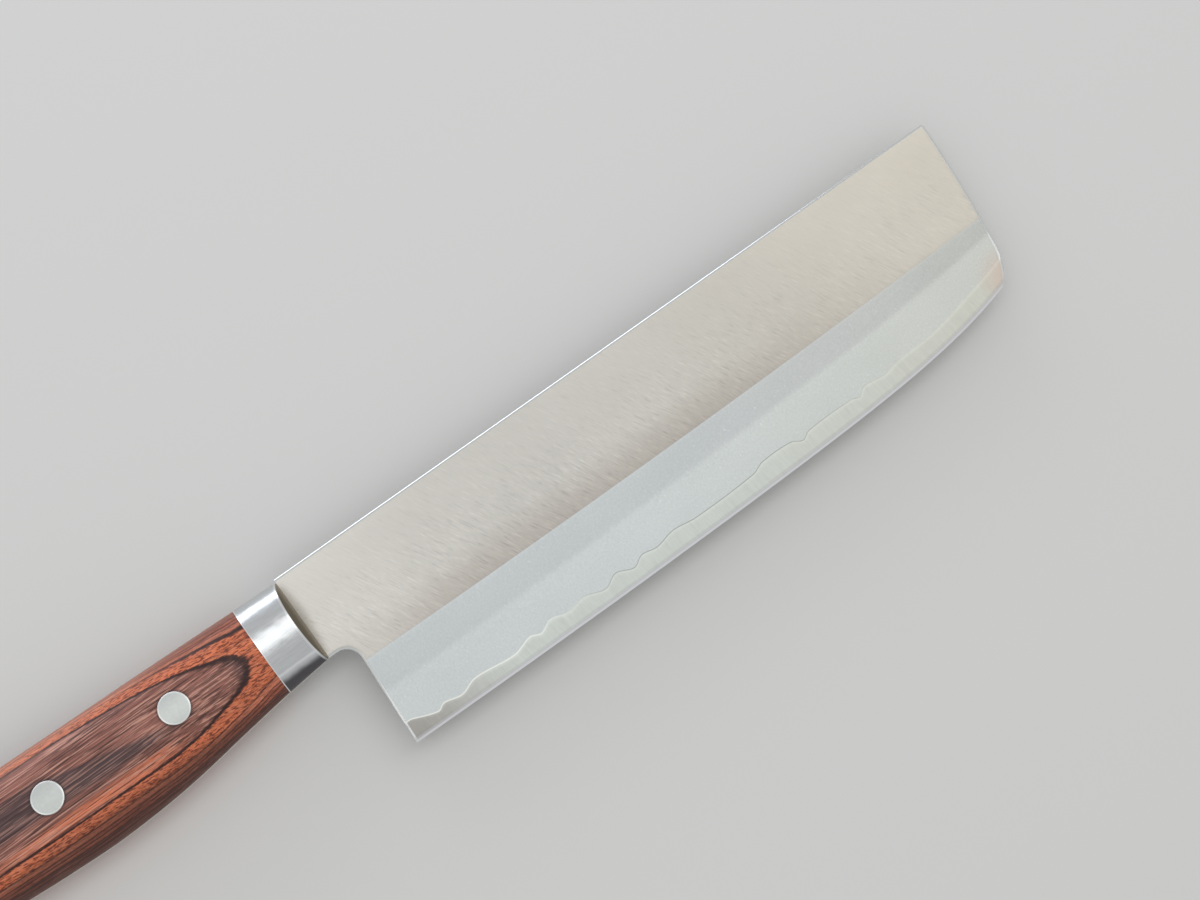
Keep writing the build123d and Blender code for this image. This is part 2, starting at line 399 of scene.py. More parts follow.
def rightEnd(y):
    # A faint bow down the nose, an arc round to the edge, and a small round at the spine
    t = np.clip((blade["spineY"] - y) / noseTall, 0, 1)
    bow = tipX - blade["noseLean"] * t + 4 * blade["noseBow"] * t * (1 - t)
    arc = noseCentre[0] + np.sqrt(np.clip(noseRadius**2 - (y - noseCentre[1]) ** 2, 0, None))
    r = blade["spineCorner"]
    top = np.clip(y - (blade["spineY"] - r), 0, r)
    return np.where(y > noseFoot[1], bow, arc) - (r - np.sqrt(r * r - top * top))


def rimDistance(x, y):
    # How far a place lies inside the outline, the cutting edge left out
    r = blade["choilRadius"]
    choil = np.hypot(np.clip(x - choilX, 0, None), np.clip(y - choilY, 0, None)) - r
    heel = (x - blade["heelX"] - heelSlope * (y - heelY)) * np.cos(blade["heelLean"])
    rear = np.where(y < choilY, heel, choil)
    step, steepest = blade["slopeStep"], blade["steepest"]
    slope = (rightEnd(y + step) - rightEnd(y - step)) / (2 * step)
    nose = (rightEnd(y) - x) / np.sqrt(1 + np.clip(slope, -steepest, steepest) ** 2)
    return np.clip(np.minimum(np.minimum(rear, nose), blade["spineY"] - y), 0, None)


def bladePlan(lines, levels):
    # The plan of a sheet: rows between flowing lines, then level rows, and columns
    # crowded towards the heel and the nose. The neck's columns join above the choil.
    rows = []
    for low, high, count in lines:
        for share in np.arange(count) / count:
            rows.append(lambda x, low=low, high=high, share=share: low(x) * (1 - share) + high(x) * share)
    rows += [lambda x, level=level: level + 0 * x for level in levels]
    near = blade["endRun"] * np.linspace(0, 1, blade["endColumns"]) ** blade["endCrowding"]
    count = int(blade["length"] / blade["columnStep"])
    middle = np.linspace(0, 1, count)[1:-1]
    neck = choilX * np.array(blade["neckShares"])
    plan = []
    for row in rows:
        left, right = np.array([blade["heelX"], tipX - blade["noseLean"]])
        for _ in range(blade["settleTurns"]):
            left, right = float(leftEnd(row(np.array(left)))), float(rightEnd(row(np.array(right))))
        run = right - left - 2 * near[-1]
        main = np.concatenate([left + near, left + near[-1] + middle * run, right - near[::-1]])
        x = np.concatenate([neck if left <= choilX + hair else np.full(len(neck), left), main])
        plan.append(np.stack([x, row(x)], -1))
    plan = np.array(plan)
    keep = np.ones((plan.shape[0] - 1, plan.shape[1] - 1), bool)
    keep[:, : len(neck)] = (plan[:-1, 0, 0] < hair)[:, None]
    return plan[..., 0], plan[..., 1], keep


def bladeLevels():
    # Level rows: round the choil, clear of the neck, up the plate and over to the spine
    turn = np.linspace(0, pi / 2, 10)[1:]
    easing = blade["rimWidth"] * (1 - np.cos(np.linspace(0, pi / 2, 9)))
    choil = choilY + blade["choilRadius"] * np.sin(turn)
    neck = blade["neckY"] + easing[1:]
    plain = np.linspace(neck[-1], blade["spineY"] - blade["rimWidth"], 14)[1:-1]
    return np.concatenate([choil, neck, plain, (blade["spineY"] - easing)[::-1]])


def choilTangent(x):
    # The level of the choil's centre
    return choilY + 0 * x


def bladeMarks(x, y, tang):
    # What the finishes go by: how far inside the outline a place lies, and its height
    # over each line. The tang's points, out of sight, count as far from them all.
    marks = {"rim": rimDistance(x, y), "overGrind": y - grindLine(x), "overBreak": y - breakLine(x)}
    marks |= {"overCore": y - coreLine(x), "overEdge": y - edgeLine(x)}
    far = {"rim": 9, "overGrind": 9, "overBreak": 19, "overCore": 29, "overEdge": 34}
    return {
        name: np.concatenate([values.ravel(), values.ravel(), np.full(tang, far[name])])
        for name, values in marks.items()
    }


# The handle's form

handle = {
    "length": 116.4, "depth": 25.4, "thickness": 16.0,
    "bolster": 10.2, "bolsterSlope": radians(16),
    "buttRound": 0.9, "woodSunk": 0.03, "woodRound": 0.15,
    "bolsterFrontRound": 0.3, "bolsterRearRound": 0.12,
    "tangRun": 2, "buttRun": 3, "jointRun": 2,  # stretches with crowded rings
    "jointEasing": 0.6,  # share of woodRound that the wood falls at the bolster
    "sharp": 50,
}
# Way back along the handle, then back, belly and half thickness as shares
handleShares = np.array([
    (0.000, 0.368, 0.370, 0.360), (0.088, 0.380, 0.412, 0.395), (0.181, 0.392, 0.468, 0.434),
    (0.314, 0.406, 0.549, 0.478), (0.442, 0.417, 0.580, 0.498), (0.551, 0.428, 0.562, 0.500),
    (0.688, 0.430, 0.522, 0.488), (0.817, 0.415, 0.526, 0.486), (0.905, 0.386, 0.556, 0.490),
    (0.955, 0.345, 0.535, 0.446), (0.986, 0.276, 0.462, 0.350), (1.000, 0.190, 0.364, 0.226),
])


def handleOval(x):
    # Middle height, half height and half thickness of the oval across the handle
    way = np.clip(-x / handle["length"], 0, 1)
    back, belly, half = [through(handleShares[:, 0], handleShares[:, k], way) for k in (1, 2, 3)]
    middle, tall = (back - belly) * handle["depth"] / 2, (back + belly) * handle["depth"] / 2
    return middle, tall, half * handle["thickness"]


def handleFront(x, y):
    # Height of the handle's front face over a place in the side view
    middle, tall, half = handleOval(x)
    return half * np.sqrt(np.clip(1 - ((y - middle) / tall) ** 2, 0.01, 1))


def tangSheet(low, high, mirrored):
    # The layer of the tang between two levels: its back and belly follow the oval
    fromButt = endSteps(handle["length"], handle["buttRound"], 8)[:-3]
    toButt = np.linspace(0, -handle["length"] + handle["tangRun"], 90)
    x = np.concatenate([toButt, (fromButt - handle["length"])[::-1]])
    inset = handle["buttRound"] * rounded(x + handle["length"], handle["buttRound"])
    middle, tall, half = handleOval(x)
    share = np.linspace(1, -1, 9)[:, None]
    sheets = []
    for level in (high, low):
        y = middle + share * (tall - inset) * np.sqrt(1 - (level / (half - inset)) ** 2)
        sheets.append(np.stack([x + 0 * y, y, level + 0 * y], -1))
    front, back = sheets
    if mirrored:
        front, back = back * mirror, front * mirror
    return closedSheet(front[::-1, ::-1], back[::-1, ::-1])


# Finishes of the blade

# In all the finishes, a span says where something begins and where it is full, in
# millimetres or in a noise's own 0 to 1. Bare numbers in the sums say how much a noise
# or a mark counts, and centre it.
steelLooks = {
    "plate": paint(186, 184, 178), "plateLow": paint(173, 168, 161),
    "upperFacet": paint(200, 205, 206), "lowerFacet": paint(207, 213, 212),
    "core": paint(206, 211, 206), "coreHeel": paint(168, 165, 160), "bevel": paint(232, 233, 238),
    "coreLine": paint(140, 142, 138), "heelLine": paint(240, 242, 236), "rim": paint(226, 229, 228),
    "tipWarmth": paint(255, 251, 245), "cornerTint": paint(214, 178, 160), "paintedGlint": paint(236, 242, 242),
    "bolsterShade": paint(112, 98, 80), "speck": paint(70, 62, 54),
    "brush": {"angle": -25, "pitch": (2.6, 0.5)},
    "coreBrush": {"angle": -7, "pitch": (3.0, 0.35)},
    "strokes": {"angle": -28, "pitch": (3.6, 0.32, 3.6), "shift": (0, 0.01, 0), "detail": 1},
    "clouds": {"pitch": (0.04, 0.07, 0.05)},
    "blasting": {"pitch": (2.7, 1.9, 2.7), "detail": 3, "rough": 0.75},
    "brushDepth": 0.006, "coreDepth": 0.003,
    "cornerShift": (2, 1),  # middle of the pink, from the nose's corner
    "shadeAndResidueBow": 0.012, "coreSlant": 0.6, "coreShift": 20,
}
steelSpans = {
    "onPlate": (-0.08, 0.08), "upperFacet": (-0.9, 0.5), "rim": (0.6, 0.35),
    "brushRise": (22, 5), "brushCalm": (90, 150),
    "lowBand": (8.5, 0.5), "lowFromHeel": (2, 34), "lowToTip": (160, 80),
    "heelGlow": (40, 0), "tipGlow": (100, 165), "warming": (60, 165), "cornerTint": (9, 1),
    "paleStroke": (0.4, 0.3), "darkStroke": (0.6, 0.7), "paintedGlint": (0.64, 0.74), "speck": (0.6, 0.68),
    "shadeAndResidueRun": (3.0, 0.4), "shadeAndResidueTop": (9.5, 7), "shadeAndResidueFoot": (-9, -7.5),
    "heelSeam": (0.17, 0.05), "heelSeamRun": (52, 28),
    "coreColour": (4, 34), "seamDarkens": (34, 60), "coreSeam": (-0.27, -0.06), "seamFades": (95, 138),
    "bevel": (0.6, 0.35), "bevelGlow": (1.0, 0.8),
}


def brushed(finish, angle, pitch):
    # Fine lines with longer, softer ones among them, about 0.5 on average
    across, along = pitch
    fine = finish.grain((across, along, across), angle, detail=4, rough=0.75)
    broad = finish.grain((across / 3, along / 3, across), angle)
    return fine * 0.65 + broad * 0.35


def plateColour(finish, x, overGrind, lines):
    # Browner low down in the middle of the blade, paler at both ends as painted highlights, brushed all over
    strokes = finish.grain(**steelLooks["strokes"])
    strong = 0.4 + overGrind.between(*steelSpans["brushRise"]) * 0.6
    strong = strong * (1 - x.between(*steelSpans["brushCalm"]) * 0.35)
    low = overGrind.between(*steelSpans["lowBand"]) * (0.3 + 0.7 * x.between(*steelSpans["lowFromHeel"]))
    low = low * x.between(*steelSpans["lowToTip"])
    streaks = (lines - 0.5) * 0.55 + strokes.between(*steelSpans["paleStroke"]) * 0.12
    streaks = streaks - strokes.between(*steelSpans["darkStroke"]) * 0.14
    # Painted highlights towards the heel and the tip
    light = 1.0 + streaks * strong + x.between(*steelSpans["heelGlow"]) * 0.14
    light = light + x.between(*steelSpans["tipGlow"]) * 0.14
    return finish.shade(finish.blend(low, steelLooks["plate"], steelLooks["plateLow"]), light)


def facetColour(finish, overBreak, blasted):
    # Two blasted facets, the upper one a touch darker and bluer as painted shade, with painted glints on
    # single grains
    upper = overBreak.between(*steelSpans["upperFacet"])
    colour = finish.blend(upper, steelLooks["lowerFacet"], steelLooks["upperFacet"])
    colour = finish.shade(colour, 0.84 + blasted * 0.32)
    return finish.blend(blasted.between(*steelSpans["paintedGlint"]) * 0.6, colour, steelLooks["paintedGlint"])


def tipTint(finish, colour, x, y):
    # Warmer towards the tip, with a faint pink where the nose meets the edge
    warm = finish.blend(1.0, colour, steelLooks["tipWarmth"], "MULTIPLY")
    colour = finish.blend(x.between(*steelSpans["warming"]), colour, warm)
    ahead, above = steelLooks["cornerShift"]
    away = distance(x - cornerX - ahead, y - cornerY - above)
    return finish.blend(away.between(*steelSpans["cornerTint"]) * 0.4, colour, steelLooks["cornerTint"])


def claddingFinish():
    # Slanted brushing above the grind line, blasting below it, a polished arris with a painted highlight
    finish = Finish("soft_steel_cladding", Metallic=1.0)
    names = ("overGrind", "overBreak", "overCore", "rim")
    overGrind, overBreak, overCore, rim = [finish.mark(name) for name in names]
    x, y, _ = finish.places()
    lines = brushed(finish, **steelLooks["brush"])
    clouds = finish.grain(**steelLooks["clouds"])
    blasted = finish.grain(**steelLooks["blasting"])
    onPlate = overGrind.between(*steelSpans["onPlate"])
    facets, plate = facetColour(finish, overBreak, blasted), plateColour(finish, x, overGrind, lines)
    colour = finish.shade(finish.blend(onPlate, facets, plate), 0.94 + clouds * 0.12)
    colour = tipTint(finish, colour, x, y)
    # A brown band close to the bolster, painted shade and a painted reflection of it, with dark specks of
    # residue
    near = (x + y * y * steelLooks["shadeAndResidueBow"] + clouds * 1.2).between(*steelSpans["shadeAndResidueRun"])
    near = near * y.between(*steelSpans["shadeAndResidueTop"]) * y.between(*steelSpans["shadeAndResidueFoot"])
    colour = finish.blend(near * 0.4, colour, steelLooks["bolsterShade"])
    specks = blasted.between(*steelSpans["speck"]) * near
    colour = finish.blend(specks * 0.6, colour, steelLooks["speck"])
    # A pale seam where the core comes out near the heel, and a painted highlight on the polished arris all
    # round
    seam = overCore.between(*steelSpans["heelSeam"]) * x.between(*steelSpans["heelSeamRun"])
    colour = finish.blend(seam * 0.7, colour, steelLooks["heelLine"])
    onRim = rim.between(*steelSpans["rim"])
    colour = finish.blend(onRim, colour, steelLooks["rim"])
    rough = 0.44 + onPlate * (lines * 0.14 - 0.12) - onRim * 0.2 + near * 0.1
    height = (onPlate * lines + (1 - onPlate) * blasted * 0.8) * (1 - onRim)
    normal = finish.bumped(height, steelLooks["brushDepth"])
    return finish.close(Base_Color=colour, Roughness=rough, Normal=normal)


def coreFinish():
    # Ground across, greyer near the heel, with a fine line where the cladding ends
    finish = Finish("hard_core_steel", Metallic=1.0)
    overCore, overEdge, rim = [finish.mark(name) for name in ("overCore", "overEdge", "rim")]
    x, y, _ = finish.places()
    lines = brushed(finish, **steelLooks["coreBrush"])
    onward = (x + y * steelLooks["coreSlant"] + steelLooks["coreShift"]).between(*steelSpans["coreColour"])
    colour = finish.shade(finish.blend(onward, steelLooks["coreHeel"], steelLooks["core"]), 0.8 + lines * 0.4)
    colour = tipTint(finish, colour, x, y)
    darker = x.between(*steelSpans["seamDarkens"])
    seamColour = finish.blend(darker, steelLooks["heelLine"], steelLooks["coreLine"])
    seam = overCore.between(*steelSpans["coreSeam"]) * (0.8 - x.between(*steelSpans["seamFades"]) * 0.72)
    colour = finish.blend(seam, colour, seamColour)
    # A painted highlight on the cutting bevel, spilling a little above it
    bevel = overEdge.between(*steelSpans["bevel"])
    glow = overEdge.between(*steelSpans["bevelGlow"]) * 0.35 + bevel * 0.5
    colour = finish.blend(glow, colour, steelLooks["bevel"])
    # A painted highlight on the polished arris
    onRim = rim.between(*steelSpans["rim"])
    colour = finish.blend(onRim, colour, steelLooks["rim"])
    rough = 0.36 + lines * 0.1 + bevel * 0.06 - onRim * 0.15
    normal = finish.bumped(lines, steelLooks["coreDepth"])
    return finish.close(Base_Color=colour, Roughness=rough, Normal=normal)


# The blade

ground = [(coreLine, breakLine, 10), (breakLine, grindLine, 8), (grindLine, choilTangent, 2)]


def bladeCladding(mirrored):
    # Outer face: the ground form less the eased arris. Inner face: the core's own sheet.
    x, y, keep = bladePlan(ground, np.concatenate([[choilY], bladeLevels()]))
    inner = coreHalf(x)
    outer = np.maximum(groundHalf(x, y), inner + blade["lip"])
    fall = np.minimum(blade["rimDepth"], blade["claddingRimShare"] * (outer - inner))
    outer = outer - fall * rounded(rimDistance(x, y), blade["rimWidth"])
    front, back = np.stack([x, y, outer], -1), np.stack([x, y, inner], -1)
    if mirrored:
        front, back = back * mirror, front * mirror
    tang = tangSheet(float(coreHalf(np.array(0.0))), blade["stockHalf"], mirrored)
    marks = bladeMarks(x, y, len(tang[0]))
    return joined([closedSheet(front, back, keep), tang]), marks


def bladeCore():
    # Laid open below the core line, and a plain sheet between the claddings above it
    lines = [(edgeLine, shoulderLine, 3), (shoulderLine, coreLine, 9)] + ground
    x, y, keep = bladePlan(lines, np.concatenate([[choilY], bladeLevels()]))
    below = coreLine(x) - y
    sheet = coreHalf(x)
    bare = groundHalf(x, y) - blade["lip"] * (1 - ease(below / blade["lipRun"]))
    fall = np.minimum(blade["rimDepth"], blade["coreRimShare"] * bare) * ease(below / blade["coreRimRun"])
    bare = bare - fall * rounded(rimDistance(x, y), blade["rimWidth"])
    half = np.where(below > 1e-9, bare, sheet)
    plan = np.stack([x, y, half], -1)
    level = float(coreHalf(np.array(0.0)))
    tang = tangSheet(-level, level, False)
    return joined([closedSheet(plan, plan * mirror, keep), tang]), bladeMarks(x, y, len(tang[0]))


steel = claddingFinish()
for side, mirrored in (("front", False), ("back", True)):
    shape, marks = bladeCladding(mirrored)
    makePiece(side + "_cladding", shape, steel, ["cladding_" + side], blade["sharp"], marks)
shape, marks = bladeCore()
makePiece("hard_core", shape, coreFinish(), ["core_steel"], blade["sharp"], marks)
print("blade done")


# Bolster

bolsterLooks = {
    "light": paint(226, 229, 230), "dull": paint(196, 198, 200), "belly": paint(92, 90, 94),
    "slope": paint(186, 178, 162), "slopeShadeDeep": paint(128, 117, 100), "line": paint(240, 242, 244),
    "polish": {"pitch": (0.1, 4.0, 4.0), "detail": 3, "rough": 0.7},
    "dents": {"pitch": (0.35, 0.35, 0.35), "detail": 1},
    "grains": {"pitch": (3.0, 3.0, 3.0)},
    "stripeDown": 6.3, "waver": 0.8, "depth": 0.07,
}
bolsterSpans = {
    "belly": (-6.6, -8.2), "highlightStripe": (0.4, 0.1), "slope": (-0.28, -0.1), "arris": (-0.75, -0.5),
    "slopeShadeDeep": (2.2, 5.2), "joint": (-9.9, -10.05),
}


def bolsterFinish():
    # Polished lengthwise and a little uneven, with painted shade on the belly and on the duller sloping
    # front, and painted highlights on a stripe, the front arris and the rear rim
    finish = Finish("polished_bolster", Metallic=1.0)
    x, y, z = finish.places()
    lines, dents, grains = [finish.grain(**bolsterLooks[name]) for name in ("polish", "dents", "grains")]
    colour = finish.blend(lines, bolsterLooks["dull"], bolsterLooks["light"])
    # Painted shade along the belly, with a wavering edge
    low = (y + dents * bolsterLooks["waver"]).between(*bolsterSpans["belly"])
    colour = finish.blend(low, colour, bolsterLooks["belly"])
    # A thin lengthwise stripe of painted highlight low on the side
    highlightStripe = (y + bolsterLooks["stripeDown"] + dents * bolsterLooks["waver"]).maths("ABSOLUTE")
    colour = finish.blend(highlightStripe.between(*bolsterSpans["highlightStripe"]) * 0.7, colour, bolsterLooks["line"])
    # How far in front of the line where the slope starts
    ahead = x + (z.maths("ABSOLUTE") - blade["stockHalf"]) * float(np.tan(handle["bolsterSlope"]))
    slope = ahead.between(*bolsterSpans["slope"])
    # A painted highlight on the arris where the slope starts
    arris = ahead.between(*bolsterSpans["arris"]) * (1 - slope) * 0.6
    colour = finish.blend(arris, colour, bolsterLooks["line"])
    # The sloping front in painted shade, brown-grey, darker in noisy patches towards its outer rim
    shadeDeepens = (z.maths("ABSOLUTE") + grains * 2).between(*bolsterSpans["slopeShadeDeep"])
    front = finish.blend(shadeDeepens, bolsterLooks["slope"], bolsterLooks["slopeShadeDeep"])
    colour = finish.blend(slope, colour, front)
    # A painted highlight along the rear rim at the wood
    colour = finish.blend(x.between(*bolsterSpans["joint"]), colour, bolsterLooks["line"])
    rough = 0.17 + lines * 0.14 + slope * 0.3
    normal = finish.bumped(lines * 0.1 + dents * (1 - slope), bolsterLooks["depth"])
    return finish.close(Base_Color=colour, Roughness=rough, Normal=normal)


def bolsterHalf(mirrored):
    # Rings of half ovals from the joint with the wood to the sloping front, where each
    # ring's point stops on the slope; the front then closes straight down to the blade
    turn = np.linspace(0, 1, 65)
    rear, fore = handle["bolsterRearRound"], handle["bolsterFrontRound"]
    fromRear = endSteps(1, rear / handle["bolster"], 6)
    fromFore = 1 - endSteps(1, fore / handle["bolster"], 8)
    share = np.unique(np.round(np.concatenate([fromRear, fromFore, np.linspace(0, 1, 14)]), 6))[:, None]
    slope = np.tan(handle["bolsterSlope"])
    x = -handle["bolster"] * (1 - share) + 0 * turn
    for _ in range(6):
        inset = rear * rounded(share * handle["bolster"], rear)
        inset = inset + fore * rounded((1 - share) * handle["bolster"], fore)
        middle, tall, half = handleOval(x)
        start = np.arcsin(np.clip(blade["stockHalf"] / (half - inset), 0, 1))
        angle = start + turn * (pi - 2 * start)
        z = (half - inset) * np.sin(angle)
        stop = -(z - blade["stockHalf"]) * slope
        x = -handle["bolster"] + share * (handle["bolster"] + stop)
    y = middle + (tall - inset) * np.cos(angle)
    rings = np.stack([x, y, z], -1)
    rim = rings[-1]
    down = np.linspace(1, 0, 9)[1:, None]
    level = blade["stockHalf"] + (rim[:, 2] - blade["stockHalf"]) * down
    front = np.stack([-(level - blade["stockHalf"]) * slope, rim[:, 1] + 0 * level, level], -1)
    rings = np.concatenate([rings, front])
    if mirrored:
        rings = rings * mirror
    return closedTube(rings)


bolsterSteel = bolsterFinish()
for side, mirrored in (("front", False), ("back", True)):
    shape = bolsterHalf(mirrored)
    makePiece(side + "_bolster", shape, bolsterSteel, ["bolster_" + side], handle["sharp"])
print("bolster done")


# Scales

wood = {
    # Dark glue lines between the dyed plies: level over the middle of the knife, half width
    "lines": (
        (1.2, 0.06), (1.65, 0.07), (2.15, 0.06), (2.7, 0.08), (3.25, 0.07),
        (3.8, 0.12), (4.33, 0.12), (5.1, 0.17), (6.5, 0.14),
    ),
    "plies": [paint(*c) for c in (
        (120, 64, 52), (138, 74, 56), (104, 56, 48), (134, 72, 56), (112, 60, 50),
        (174, 96, 70), (162, 88, 66), (202, 118, 88), (214, 114, 74), (142, 92, 80),
    )],
    "stack": 9,  # height of all the plies
    "line": paint(42, 19, 20), "flush": paint(210, 122, 90), "heart": paint(70, 56, 60),
    "pale": paint(226, 170, 150), "dark": paint(64, 38, 34), "fleck": paint(96, 42, 28),
    "bright": paint(232, 142, 104),
    "tilt": 0.15, "dip": 0.45, "noseDip": 0.13,
    "heartLow": 2.4, "heartClimb": 3.2, "heartGrowth": 2.2, "strongLine": 5.1,
    "slow": {"pitch": (0.05, 0.2, 0.1), "detail": 1},
    "ragged": {"pitch": (0.8, 2.6, 2.6), "detail": 3, "rough": 0.65},
    "bands": {"pitch": (0.045, 0.8, 0.8)},
    "streaks": {"pitch": (0.07, 2.6, 2.6), "detail": 4, "rough": 0.75},
    "paleThreads": {"pitch": (0.07, 3.2, 3.2), "shift": (0, 0.03, 0), "rough": 0.6},
    "darkThreads": {"pitch": (0.08, 3.0, 3.0), "shift": (0, 0.07, 0), "rough": 0.6},
    "pores": {"angle": 6, "pitch": (0.8, 3.6, 3.6), "rough": 0.55},
    "depth": 0.02,
}
woodSpans = {
    "tilt": (-13, -53), "dip": (-13, -35), "noseDip": (-12.7, -15.4),
    "inside": (6.45, 6.7), "orange": (4.9, 5.3),
    "flush": (-4.6, -5.6), "flushFrom": (-27, -38), "flushTo": (-80, -64),
    "heart": (1.7, 0.5), "heartFrom": (-29, -38), "heartWidens": (-33, -64), "noseHeart": (-18.5, -15),
    "paleThread": (0.53, 0.6), "darkThread": (0.46, 0.39), "brightPore": (0.55, 0.68), "fleck": (0.5, 0.4),
    "outlineFoot": (6.36, 6.45), "outlineTop": (6.72, 6.54),
    "strongLine": (0.3, 0.14), "strongHeight": (3, 5.5), "strongRun": (-38, -18),
    "paintedSheenBack": (7.6, 10), "paintedShadeBelly": (-8, -10.5), "rivetShadeRing": (3.85, 3.3),
    "threadHeight": (0.34, 0.5), "poreHeight": (0.4, 0.5),
}
rivets = {
    "names": ("fore", "mid", "rear"), "first": 29.6,
    "headRadius": 3.25, "headThick": 1.6, "headProud": 0.015, "headRound": 0.22, "headFall": 0.09,
    "underBox": 0.002,  # from the top of the solids' box down to the highest place of a head
    "sleeveRadius": 2.1, "shankRadius": 1.5, "boreRadius": 1.52, "shankGap": 0.8,
    "sharp": 50,
}
rivets["pitch"] = (handle["length"] - 2 * rivets["first"]) / (len(rivets["names"]) - 1)


def fromRivet(x, y):
    # How far a place in a finish lies from the nearest rivet's axis
    count = (x / -rivets["pitch"] - rivets["first"] / rivets["pitch"]).maths("ROUND")
    count = count.maths("MAXIMUM", 0).maths("MINIMUM", len(rivets["names"]) - 1)
    return distance(x + rivets["first"] + count * rivets["pitch"], y)


def plyColour(finish, level):
    # The ply at a level of the stack, and the glue lines between the plies
    stops = [(0.0, wood["plies"][0])]
    for (line, half), below, above in zip(wood["lines"], wood["plies"], wood["plies"][1:]):
        low, middle, high = [at / wood["stack"] for at in (line - half, line, line + half)]
        stops += [(low, below), (middle, wood["line"]), (high, above)]
    return finish.node("ShaderNodeValToRGB", {"stops": stops}, {0: level / wood["stack"]})


def heartOfWood(x, up, wander, inside):
    # The dark heart inside the loop, which widens towards the butt
    back = x.between(*woodSpans["heartWidens"])
    heart = up + wood["heartLow"] - back * wood["heartClimb"] + wander * 1.2
    heart = heart.maths("ABSOLUTE") - back * wood["heartGrowth"]
    return heart.between(*woodSpans["heart"]) * x.between(*woodSpans["heartFrom"]) * inside


def woodFinish():
    # Plies lie in planes that tip as they run back, so the oval form cuts them in loops
    finish = Finish("laminated_wood", Coat_Weight=0.1, Coat_Roughness=0.32, Specular_IOR_Level=0.35)
    x, y, z = finish.places()
    names = ("slow", "ragged", "bands", "streaks", "paleThreads", "darkThreads", "pores")
    slow, ragged, bands, streaks, pale, dark, pores = [finish.grain(**wood[name]) for name in names]
    up = y * z.maths("SIGN")
    tilt = x.between(*woodSpans["tilt"]) * wood["tilt"]
    dip = x.between(*woodSpans["dip"]) * wood["dip"] + x.between(*woodSpans["noseDip"]) * wood["noseDip"]
    level = z.maths("ABSOLUTE") + tilt * up + dip + slow * 0.5 - 0.25 + ragged * 0.26 - 0.13
    colour = plyColour(finish, level)
    inside = level.between(*woodSpans["inside"])
    orange = level.between(*woodSpans["orange"]) * (1 - inside)
    # Inside the loop: a paler flush low down, and the heart
    wander = slow * 1.6 + streaks * 1.4 - 1.5
    flush = (up + wander * 0.5).between(*woodSpans["flush"]) * x.between(*woodSpans["flushFrom"])
    flush = flush * x.between(*woodSpans["flushTo"]) * inside
    colour = finish.blend(flush, colour, wood["flush"])
    heart = heartOfWood(x, up, wander, inside)
    nose = (x + wander * 1.6).between(*woodSpans["noseHeart"]) * inside * 0.6
    colour = finish.blend((heart * 0.85).maths("MAXIMUM", nose), colour, wood["heart"])
    # Long pale and dark threads inside the loop, and pores outside it
    light = 1 + (streaks - 0.5) * (1.0 + inside * 2.2) + (bands - 0.5) * 0.9
    colour = finish.shade(colour, light)
    paleHere = pale.between(*woodSpans["paleThread"]) * (0.15 + inside * 0.5 - heart * 0.3)
    colour = finish.blend(paleHere, colour, wood["pale"])
    darkHere = dark.between(*woodSpans["darkThread"]) * (0.3 + inside * 0.5)
    colour = finish.blend(darkHere, colour, wood["dark"])
    brightHere = pores.between(*woodSpans["brightPore"]) * orange * 0.7
    colour = finish.blend(brightHere, colour, wood["bright"])
    flecks = pores.between(*woodSpans["fleck"]) * (0.35 + orange * 0.45 - inside * 0.25)
    colour = finish.blend(flecks, colour, wood["fleck"])
    # The loop's outline, and the strong line above it near the bolster
    outline = level.between(*woodSpans["outlineFoot"]) * level.between(*woodSpans["outlineTop"])
    above = (level - wood["strongLine"]).maths("ABSOLUTE").between(*woodSpans["strongLine"])
    above = above * up.between(*woodSpans["strongHeight"]) * x.between(*woodSpans["strongRun"])
    colour = finish.blend(outline.maths("MAXIMUM", above) * 0.88, colour, wood["line"])
    # A painted sheen on the back and painted shade on the belly, which stand in for the light on the real
    # handle
    colour = finish.blend(up.between(*woodSpans["paintedSheenBack"]) * 0.3, colour, wood["pale"])
    colour = finish.shade(colour, 1 - up.between(*woodSpans["paintedShadeBelly"]) * 0.5)
    # A soft dark ring of painted shade round each rivet
    colour = finish.blend(fromRivet(x, y).between(*woodSpans["rivetShadeRing"]) * 0.55, colour, wood["line"])
    rough = 0.42 + dark * 0.14 - inside * 0.04
    height = pale * 0.6 + dark.between(*woodSpans["threadHeight"]) * 0.4
    height = height + pores.between(*woodSpans["poreHeight"]) * 0.5
    return finish.close(Base_Color=colour, Roughness=rough, Normal=finish.bumped(height, wood["depth"]))


def scaleHalf(mirrored):
    # Rings of half ovals from the bolster to the butt, a hair under the bolster's level
    fromButt = endSteps(handle["buttRun"], handle["buttRound"], 9)
    fromJoint = endSteps(handle["jointRun"], handle["woodRound"], 5)
    ends = -handle["bolster"] - handle["jointRun"], handle["buttRun"] - handle["length"]
    middleRun = np.linspace(*ends, 130)[1:-1]
    x = np.concatenate([-handle["bolster"] - fromJoint, middleRun, (fromButt - handle["length"])[::-1]])
    x = x[:, None]
    inset = handle["buttRound"] * rounded(x + handle["length"], handle["buttRound"])
    joint = handle["woodRound"] * rounded(-handle["bolster"] - x, handle["woodRound"])
    inset = inset + joint * handle["jointEasing"] + handle["woodSunk"]
    middle, tall, half = handleOval(x)
    start = np.arcsin(blade["stockHalf"] / (half - inset))
    angle = start + np.linspace(0, 1, 81) * (pi - 2 * start)
    y = middle + (tall - inset) * np.cos(angle)
    z = (half - inset) * np.sin(angle)
    rings = np.stack([x + 0 * y, y, z], -1)
    if mirrored:
        rings = rings * mirror
    return closedTube(rings)


